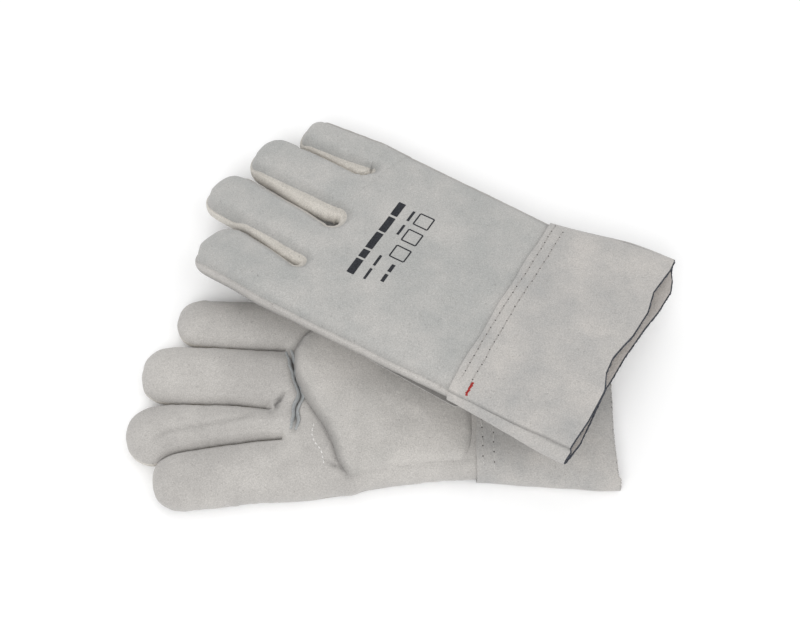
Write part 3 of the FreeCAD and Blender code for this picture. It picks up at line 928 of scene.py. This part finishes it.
def cuff_shell(glove):
    """A flared cuff of real leather thickness, lapped over the wrist.

    Also gives the middle line of its cut edge and the outward direction there.
    """
    mouth = MOUTHS[glove.hand]
    on_top = np.array([True] * TOP_COUNT + [False] * (TOP_COUNT + 2 * (ROWS - 2)))
    wrist_near, wrist_far = glove.near[0][1] + 0.3, glove.far[-1][1] - 0.3
    layers = {"outer": [], "inner": []}
    for s in np.linspace(0, 1, STATIONS) ** 1.15:
        flare = math.sin(s * math.pi / 2) if glove.hand == "right" else s
        near = wrist_near + (mouth.near - wrist_near) * min(1, 1.15 * flare)
        far = wrist_far + (mouth.far - wrist_far) * flare
        loop = loop_section(glove, -WRIST_X * s, near, far, np.interp(s, (0.1, 0.8), mouth.side))
        still = loop[:, 1].min() if glove.palm_up else loop[:, 1].max()
        loop[:, 1] = still + (loop[:, 1] - still) * (1 - (1 - mouth.flat) * step_up(s, 0.1, 1))
        top_end, bottom_end = (
            np.interp(loop[:, 0], *zip(*ends)) for ends in (mouth.top_ends, mouth.bottom_ends)
        )
        lap = lap_at(glove, loop[:, 0]) + 0.35 * np.sin(loop[:, 0] / 6.1)
        x = s * np.where(on_top, top_end, bottom_end) + (1 - s) * lap
        ruffle = mouth.ruffle * step_up(s, 0.25, 1)
        for name, by in (("outer", CUFF_SLACK + LEATHER), ("inner", CUFF_SLACK)):
            points = wave(glove, np.column_stack([x, pushed_out(loop, by)]))
            lift = ripple(np.column_stack([x * 0.6, loop[:, 0], 20.0 * on_top]), 21.0, 60)
            if glove.palm_up:
                lift = lift * step_up(points[:, 2], -7.0, 2.0)
            points[:, 2] += ruffle * lift
            if glove.palm_up:
                floor = -GLOVE_HALF + (0.02 if name == "outer" else LEATHER)
                points[:, 2] = np.maximum(points[:, 2], floor)
            layers[name].append(points)
    shell = Shell()
    cuff_painted_shade = np.ones(len(on_top))
    if not glove.palm_up:
        cuff_painted_shade[[0, TOP_COUNT - 1]] = 0.62  # painted shade along the seams at its sides
    outer = [shell.add_points(p, cuff_painted_shade) for p in layers["outer"]]
    inner = [shell.add_points(p) for p in layers["inner"]]
    count = len(outer[0])
    for k in range(count):
        n = (k + 1) % count
        if glove.palm_up:
            on_back = TOP_COUNT + ROWS - 4 <= k < 2 * TOP_COUNT + ROWS
        else:
            on_back = k < TOP_COUNT - 1
        panel = "cuff_back" if on_back else "cuff_palm"
        for a in range(STATIONS - 1):
            shell.add_face((outer[a][k], outer[a + 1][k], outer[a + 1][n], outer[a][n]), panel, "cuff")
            shell.add_face((inner[a][k], inner[a][n], inner[a + 1][n], inner[a + 1][k]), "inside", "cuff")
        shell.add_face((outer[-1][k], inner[-1][k], inner[-1][n], outer[-1][n]), "edge", "cuff")
        shell.add_face((outer[0][k], outer[0][n], inner[0][n], inner[0][k]), "lap_edge", "cuff")
    rim = (shell.points[outer[-1]] + shell.points[inner[-1]]) / 2
    rim_out = shell.points[outer[-1]] - shell.points[inner[-1]]
    return shell, rim, unit_rows(rim_out)


def raw_edge(glove, rim, rim_out):
    """The rough cut edge of the cuff's mouth: a bead, near black on the right glove, the edge's own dark
    colour and painted shade from the mouth's inside.
    """
    closed, out = np.vstack([rim, rim[:1]]), np.vstack([rim_out, rim_out[:1]])
    gaps = np.linalg.norm(np.diff(closed, axis=0), axis=1)
    at = np.concatenate([[0], np.cumsum(gaps)])
    want = np.linspace(0, at[-1], int(at[-1] / 0.7))
    path = np.stack([np.interp(want, at, closed[:, k]) for k in range(3)], axis=1)
    sides = np.stack([np.interp(want, at, out[:, k]) for k in range(3)], axis=1)
    path[:, 0] -= 0.15 + 0.30 * ripple(path, 1.6, 13)
    if glove.palm_up:
        path[:, 2] = np.maximum(path[:, 2], 0.85 - GLOVE_HALF)
    batch = Batch()
    batch.add(*sweep(path, sides, circle_section(0.68, 8), closed_ends=False))
    piece = batch.build(f"{glove.hand}_cuff_raw_edge", glove, MATERIALS["cuff" if glove.palm_up else "raw_edge_and_shade"])
    tie(piece, f"{glove.hand}_hand", "cuff_leather")


CUFF_PIECES = (  # the panel, the piece's name and its material
    ("cuff_back", "cuff_back_leather", "cuff"),
    ("cuff_palm", "cuff_palm_leather", "cuff"),
    ("inside", "cuff_inside", "inside"),
    ("edge", "cuff_mouth_edge", "cuff"),
    ("lap_edge", "cuff_lap_edge", "cuff"),
)


def finish_cuff(glove, shell):
    """Makes the pieces of a cuff."""
    for panel, name, material in CUFF_PIECES:
        piece = shell.piece(f"{glove.hand}_{name}", glove, panel, "cuff", MATERIALS[material])
        nodes = [f"{glove.hand}_{panel}"] if panel.startswith("cuff") else []
        tie(piece, f"{glove.hand}_hand", "cuff_leather", *nodes)


# ---- thumbs


class Probe:
    """Finds places on a shell's surface, for laying small parts on it."""

    def __init__(self, shell):
        self.tree = BVHTree.FromPolygons(shell.points.tolist(), shell.faces)

    def hit(self, x, y, up=1):
        """The point seen from above, or from below for up=-1, and the normal out of the leather there."""
        point, normal, _, _ = self.tree.ray_cast(Vector((x, y, up * ABOVE)), Vector((0, 0, -up)))
        if point is None:
            return None
        return np.array(point), np.array(normal) * (1 if normal.z * up > 0 else -1)

    def heights(self, flat, missing):
        """The height of the surface at each point, or a given one where there is none."""
        hits = [self.hit(x, y) for x, y in flat]
        return np.array([hit[0][2] if hit else missing for hit in hits])


def closed_even(points, passes):
    """A closed line with its corners cut and its points at equal distances."""
    return even(rounded(np.vstack([points, points[:1]]), passes), STEP)[:-1]


def left_thumb(on_hand):
    """The folded thumb and the heel of the palm: one puffed piece that lies on the palm."""
    boundary = closed_even(LOBE_FREE + LOBE_SEWN, 2)[::-1]
    flat, faces = fill(boundary, rings=(0.35, 0.9, 1.8))
    free = distance_to(np.array(LOBE_FREE, float), flat)
    sewn = distance_to(np.array([LOBE_FREE[-1], *LOBE_SEWN, LOBE_FREE[0]], float), flat)
    edge = distance_to(np.vstack([boundary, boundary[:1]]), flat)
    x, y = flat[:, 0], flat[:, 1]
    puff = 2.2 + 4.6 * step_up(x, 5, 80) * (1 - 0.55 * step_up(y, 12, 52))
    puff = puff * dome(np.minimum(free, edge + 100 * (free < sewn)), 13.0) * dome(sewn, 30.0)
    rise = 1.9 * dome(edge, 1.1) * (0.30 + 0.70 * step_up(sewn - free, -8, 8)) + puff
    lumps = 0.45 * ripple(flat, 24.0, 31) + 0.18 * ripple(flat, 8.0, 32)
    z = np.minimum(on_hand.heights(flat, 9.0), 9.6) + rise + lumps * dome(edge, 8.0)
    # painted shade along the thumb's free edge and in its creases
    shade = 1 - 0.30 * np.exp(-((edge / 0.7) ** 2)) * step_up(sewn - free, -12, 12)
    for line, depth, width, dark in THUMB_CREASES:
        z -= groove(flat, line, depth, width)
        shade -= groove(flat, line, dark, width)
    shell = Shell()
    upper = shell.add_points(at_height(flat, z), shade)
    for face in faces:
        shell.add_face(upper[face], "thumb", "hand")
    outline = [nearest(flat, p) for p in boundary]
    ring = shell.points[upper[outline]]
    # the skirt under the thumb's edge is drawn darker, as painted shade
    skirt = shell.add_points(ring - [0, 0, 2.4], 0.6)
    for k in range(len(outline)):
        n = (k + 1) % len(outline)
        shell.add_face((upper[outline[n]], upper[outline[k]], skirt[k], skirt[n]), "thumb", "hand")
    return shell


def right_thumb():
    """The folded thumb under the palm, a puffed bag whose near side shows."""
    a, b, half = np.array([-2.0, 48.3]), np.array([50.0, 45.5]), 17.0
    along = (b - a) / np.linalg.norm(b - a)
    across = np.array([-along[1], along[0]])
    turns = np.radians(np.linspace(90, -90, 19))[:, None]
    tip = b + half * (np.cos(turns) * along + np.sin(turns) * across)
    root = a - half * (np.cos(turns) * 0.6 * along + np.sin(turns) * across)
    boundary = closed_even(np.vstack([tip, root]), 1)[::-1]
    flat, faces = fill(boundary, rings=(0.8, 2.0))
    edge = distance_to(np.vstack([boundary, boundary[:1]]), flat)
    shell = Shell()
    bumps = 0.35 * ripple(flat, 15.0, 77)
    # the upper panel is drawn at 0.4: painted shade for the dark gap under the palm's near edge
    upper = shell.add_points(at_height(flat, -10.6 + 3.4 * dome(edge, 6.0) ** 0.8), 0.4)
    lower = shell.add_points(at_height(flat, -11.4 - 3.9 * dome(edge, 9.0) + bumps * dome(edge, 6.0)))
    for face in faces:
        shell.add_face(upper[face], "front", "hand")
        shell.add_face(lower[face[::-1]], "back", "hand")
    outline = [nearest(flat, p) for p in boundary]
    for k in range(len(outline)):
        n = (k + 1) % len(outline)
        corners = (upper[outline[n]], upper[outline[k]], lower[outline[k]], lower[outline[n]])
        shell.add_face(corners, "back", "hand")
    return shell


# ---- trim


def sweep(path, sides, section, closed_ends=True):
    """A strip along a path in 3-D, as points and faces.

    The section is (out, up) points, and `sides` is the direction outwards at each path point.
    """
    ups = unit_rows(np.cross(unit_rows(np.gradient(path, axis=0)), sides))
    ups *= np.sign(ups[:, 2:3] + 1e-9)
    rings = [path + o * sides + u * ups for o, u in section]
    points = np.stack(rings, axis=1).reshape(-1, 3)
    n = len(section)
    faces = []
    for k in range(len(path) - 1):
        for j in range(n):
            a, b = k * n + j, k * n + (j + 1) % n
            faces.append((a, b, b + n, a + n))
    if closed_ends:
        faces += [tuple(range(n))[::-1], tuple(range(len(points) - n, len(points)))]
    return points, faces


class Batch:
    """Many small parts gathered into one object."""

    def __init__(self):
        self.points, self.faces = [], []

    def add(self, points, faces):
        start = len(self.points)
        self.points += [tuple(p) for p in points]
        self.faces += [tuple(start + c for c in f) for f in faces]

    def build(self, name, glove, material):
        mesh = bpy.data.meshes.new(name)
        points = np.array(self.points)
        if glove.palm_up:  # nothing goes through the table
            points[:, 2] = np.maximum(points[:, 2], 0.01 - GLOVE_HALF)
        mesh.from_pydata(glove.place(points).tolist(), [], self.faces)
        mesh.polygons.foreach_set("use_smooth", [True] * len(mesh.polygons))
        return new_object(name, mesh, material)


def circle_section(radius, count=6):
    turns = np.radians(np.arange(count) * 360 / count)
    return [(radius * math.cos(t), radius * math.sin(t)) for t in turns]


def welt(glove):
    """The narrow strip in the seam along the index finger's side of the hand."""
    line, zones, _, _ = seam_outline(glove)
    normals = outward(line)
    keep = (zones == 0) & (line[:, 0] > (34 if glove.palm_up else 4)) & (line[:, 0] < 112)
    line, normals = line[keep], normals[keep]
    if glove.palm_up:
        height, out = -6.6, glove.bulge - 2.2
    else:
        height, out = 4.7, 0.9
    path = wave(glove, at_height(line + normals * out, height))
    turns = np.radians(np.arange(10) * 36)
    section = [(1.25 * np.sign(math.cos(t)) * abs(math.cos(t)) ** 0.6, 0.62 * math.sin(t)) for t in turns]
    batch = Batch()
    batch.add(*sweep(path, at_height(normals), section))
    piece = batch.build(f"{glove.hand}_side_welt_leather", glove, MATERIALS["palm"])
    tie(piece, f"{glove.hand}_hand", "welt_leather", f"{glove.hand}_side_welt")


def stitch(batch, start, end, normal, radius):
    """One thread stitch: a low arch between two needle holes."""
    t = np.linspace(0, 1, 7)[:, None]
    lift = np.sin(np.pi * t) ** 0.5 * radius * 1.1 - radius * 0.9
    path = start + t * (end - start) + lift * normal
    side = np.cross(end - start, normal)
    side /= np.linalg.norm(side)
    batch.add(*sweep(path, np.tile(side, (7, 1)), circle_section(radius)))


def needle_hole(batch, centre, normal, size):
    """Painted shade of a needle hole: a small dark dish drawn just above the leather."""
    side = np.cross(normal, (1, 0, 0))
    side /= np.linalg.norm(side)
    other = np.cross(normal, side)
    turns = np.radians(np.arange(7) * 360 / 7)
    rim = [centre + size * (math.cos(t) * side * 1.25 + math.sin(t) * other) + 0.05 * normal for t in turns]
    batch.add([*rim, centre + 0.02 * normal], [(k, (k + 1) % 7, 7) for k in range(7)])


ROW_XS = (-3.4, -9.2)  # the two rows of stitches of a cuff seam
PITCH = 5.4  # the length of a stitch with the gap after it


def cuff_stitches(glove, probe):
    """The two rows of stitches round a cuff's seam, above and below, with painted shade for their needle
    holes.
    """
    rng = np.random.default_rng(7 if glove.palm_up else 11)
    near, far = glove.near[0][1] + (4.5 if glove.palm_up else -1.0), glove.far[-1][1] + 1.0
    for up in (1, -1):
        thread, holes = Batch(), Batch()
        for row, x in enumerate(ROW_XS):
            ys = np.arange(far + 0.5 * row * PITCH, near, PITCH)
            ys = ys + rng.normal(0, 0.25, len(ys))
            xs = x + lap_at(glove, ys)
            xs = xs + 0.4 * np.sin(ys / 17 + row) + rng.normal(0, 0.12, len(ys))
            spots = [spot for spot in (probe.hit(a, b, up) for a, b in zip(xs, ys)) if spot]
            for (p, n), (q, _) in zip(spots[:-1], spots[1:]):
                gap = q - p
                stitch(thread, p + 0.13 * gap, p + 0.87 * gap, n, 0.30)
                needle_hole(holes, p, n, 0.42)
        seam = f"{glove.hand}_cuff_" + ("palm" if (up > 0) == glove.palm_up else "back")
        look = MATERIALS["thread" if glove.palm_up else "dull_thread"]
        piece = thread.build(f"{seam}_stitches", glove, look)
        tie(piece, f"{glove.hand}_hand", "thread", f"{seam}_thread")
        tie(holes.build(f"{seam}_needle_holes", glove, MATERIALS["hole"]), f"{glove.hand}_hand", "thread")


TACK_X = -9.8


def bartack(glove, probe):
    """The red bar of thread at the near end of the right cuff's seam: close turns over two long ones."""
    batch = Batch()
    for k in range(9):
        x, y = TACK_X + 0.25 * math.sin(k * 2.1), 60.4 + 0.9 * k
        (p, n), (q, _) = (probe.hit(x + step, y + 0.3 * step) for step in (-0.55, 0.55))
        stitch(batch, p, q, n, 0.42)
    for shift in (-0.25, 0.3):
        spots = [probe.hit(TACK_X + shift, y) for y in (60.2, 64.2, 67.9)]
        for (p, n), (q, _) in zip(spots[:-1], spots[1:]):
            stitch(batch, p, q, n, 0.34)
    piece = batch.build("right_red_bartack_thread", glove, MATERIALS["red"])
    tie(piece, "right_hand", "red_thread", "right_red_bartack")


# The section of a folded seam edge, as (out, up).
SEAM_EDGE = (
    (-0.65, -1), (-0.7, 0), (-0.55, 0.75), (-0.2, 1.0), (0.2, 1.0), (0.55, 0.75), (0.7, 0), (0.65, -1),
)


def gather(glove, probe):
    """The raw edges of the two palm pieces, gathered in the seam below the middle and ring fingers."""
    line = even(rounded(CREASE_SEAM), 0.8)
    normals = outward(line)
    wobble = ripple(line, 5.0, 91)
    batch = Batch()
    index = np.arange(len(line))
    ends = np.clip(np.minimum(index, index[::-1]) / 8, 0, 1)
    size = len(SEAM_EDGE)
    for shift, rise, tall in ((-1.4, 0.1, 2.4), (1.1, 0.5, 2.8)):
        path = line + normals * (shift + 1.1 * wobble * (1 if shift > 0 else -0.7))[:, None]
        z = smooth_values(probe.heights(path, 8.0), 4) + rise * ends + 0.5 * ripple(path, 4.0, 95)
        lean = unit_rows(at_height(normals * (0.5 * np.sign(shift)), 1.0))
        centre, thick = at_height(path, z), at_height(normals)
        half_tall = tall / 2 * (0.25 + 0.75 * ends)
        rings = [centre + out * thick + (up * half_tall)[:, None] * lean for out, up in SEAM_EDGE]
        faces = [
            (k * size + j, k * size + (j + 1) % size, (k + 1) * size + (j + 1) % size, (k + 1) * size + j)
            for k in range(len(path) - 1)
            for j in range(size)
        ]
        batch.add(np.stack(rings, axis=1).reshape(-1, 3), faces)
    tie(batch.build("left_gathered_seam_edge", glove, MATERIALS["seam_edge"]), "left_hand", "palm_leather")


HEEL_ROW = [(91, 34), (92.3, 40), (90.5, 45), (86.5, 49), (85, 57)]


def heel_stitches(glove, probe):
    """The light stitches that show in the palm beside the heel of the index finger."""
    spots = [probe.hit(x, y) for x, y in even(rounded(HEEL_ROW), 1.5)]
    batch = Batch()
    for (start, normal), (end, _) in zip(spots[::2], spots[1::2]):
        stitch(batch, start, end, normal, 0.40)
    tie(batch.build("left_heel_stitches", glove, MATERIALS["light_thread"]), "left_hand", "thread")


def box_outline(x, y, half_x, half_y):
    left, right, low, high = x - half_x, x + half_x, y - half_y, y + half_y
    return [(left, low), (right, low), (right, high), (left, high)]


def bar(x, y0, y1, half):
    return box_outline(x, (y0 + y1) / 2, half, (y1 - y0) / 2)


def printed_shapes():
    """Plain printed marks as closed outlines (x, y): a broken bar, hollow squares and short bars."""
    pieces = ((-31, -20), (-18.5, -6), (-4.5, 9), (10.5, 17), (18.5, 30))
    shapes = [bar(84.5, start, end, 2.3) for start, end in pieces]
    x, half, pen = 67, 4.6, 0.45
    for y in (-25, -11, 3):
        shapes += [box_outline(x + side * half, y, pen, half) for side in (-1, 1)]
        shapes += [box_outline(x, y + side * half, half, pen) for side in (-1, 1)]
    shapes += [bar(66, y, y + 6.0, 1.1) for y in (12, 20)]
    shapes += [bar(75.5, y, y + 8.5, 0.8) for y in (-29, -17, 10, 21)]
    return [np.array(shape, float) for shape in shapes]


def print_marks(glove, probe):
    """The printed marks as thin skins that follow the leather."""
    batch = Batch()
    for outline in printed_shapes():
        flat, faces = fill(even(np.vstack([outline, outline[:1]]), 0.6)[:-1][::-1], rings=())
        batch.add([point + 0.07 * normal for point, normal in (probe.hit(x, y) for x, y in flat)], faces)
    tie(batch.build("right_printed_marks", glove, MATERIALS["ink"]), "right_hand", "back_leather")


for glove in (LEFT, RIGHT):
    hand = hand_shell(glove)
    finish_hand(glove, hand)
    cuff, rim, rim_out = cuff_shell(glove)
    finish_cuff(glove, cuff)
    raw_edge(glove, rim, rim_out)
    on_hand, on_cuff = Probe(hand), Probe(cuff)
    cuff_stitches(glove, on_cuff)
    welt(glove)
    thumb = left_thumb(on_hand) if glove.palm_up else right_thumb()
    for side in ("thumb",) if glove.palm_up else ("front", "back"):
        if glove.palm_up:
            name, nodes = "left_thumb_leather", ["left_thumb_back", "left_thumb_front"]
        else:
            name, nodes = f"right_thumb_{side}_leather", [f"right_thumb_{side}"]
        piece = thumb.piece(name, glove, side, "hand", MATERIALS["thumb"])
        tie(piece, f"{glove.hand}_hand", "palm_leather", *nodes)
    if glove.palm_up:
        gather(glove, on_hand)
        heel_stitches(glove, on_hand)
    else:
        bartack(glove, on_cuff)
        print_marks(glove, on_hand)


# ---- floor, light and camera


FLOOR_REACH = 3.0
LIGHTS = (  # name, place, size and power
    ("key", (-0.35, -1.0, 1.25), 1.0, 10.0),
    ("fill", (0.9, -0.3, 1.1), 1.2, 3.4),
    ("back", (-0.3, 1.0, 1.2), 1.4, 3.6),
)


def stage():
    """A pale floor, an even white surround and three soft lights."""
    mesh = bpy.data.meshes.new("floor")
    corners = [(FLOOR_REACH * x, FLOOR_REACH * y, 0) for x, y in ((-1, -1), (1, -1), (1, 1), (-1, 1))]
    mesh.from_pydata(corners, [], [(0, 1, 2, 3)])
    material = bpy.data.materials.new("floor_white")
    material.use_nodes = True
    shader = material.node_tree.nodes["Principled BSDF"]
    shader.inputs["Base Color"].default_value = (0.93, 0.93, 0.93, 1)
    shader.inputs["Roughness"].default_value = 0.9
    new_object("floor", mesh, material)
    world = bpy.data.worlds.new("studio")
    bpy.context.scene.world = world
    world.use_nodes = True
    background = world.node_tree.nodes["Background"]
    background.inputs["Color"].default_value = (1, 1, 1, 1)
    background.inputs["Strength"].default_value = 0.76
    for name, spot, size, power in LIGHTS:
        light = bpy.data.lights.new(name, "AREA")
        light.shape = "DISK"
        light.size = size
        light.energy = power
        lamp = bpy.data.objects.new(name, light)
        bpy.context.scene.collection.objects.link(lamp)
        lamp.location = spot
        lamp.rotation_euler = (-Vector(spot)).to_track_quat("-Z", "Y").to_euler()


CAMERA_TARGET = Vector((-0.00454, -0.0122, 0.020))
CAMERA_ELEVATION = math.radians(64)
CAMERA_DISTANCE = 0.770


def camera():
    """The camera looks along +y and down at the gloves."""
    data = bpy.data.cameras.new("camera")
    data.lens = 60
    data.sensor_width = 36
    obj = bpy.data.objects.new("camera", data)
    bpy.context.scene.collection.objects.link(obj)
    back = Vector((0, -math.cos(CAMERA_ELEVATION), math.sin(CAMERA_ELEVATION)))
    obj.location = CAMERA_TARGET + CAMERA_DISTANCE * back
    obj.rotation_euler = (math.pi / 2 - CAMERA_ELEVATION, 0, 0)
    bpy.context.scene.camera = obj


stage()
camera()
bpy.context.scene.view_settings.view_transform = "Standard"
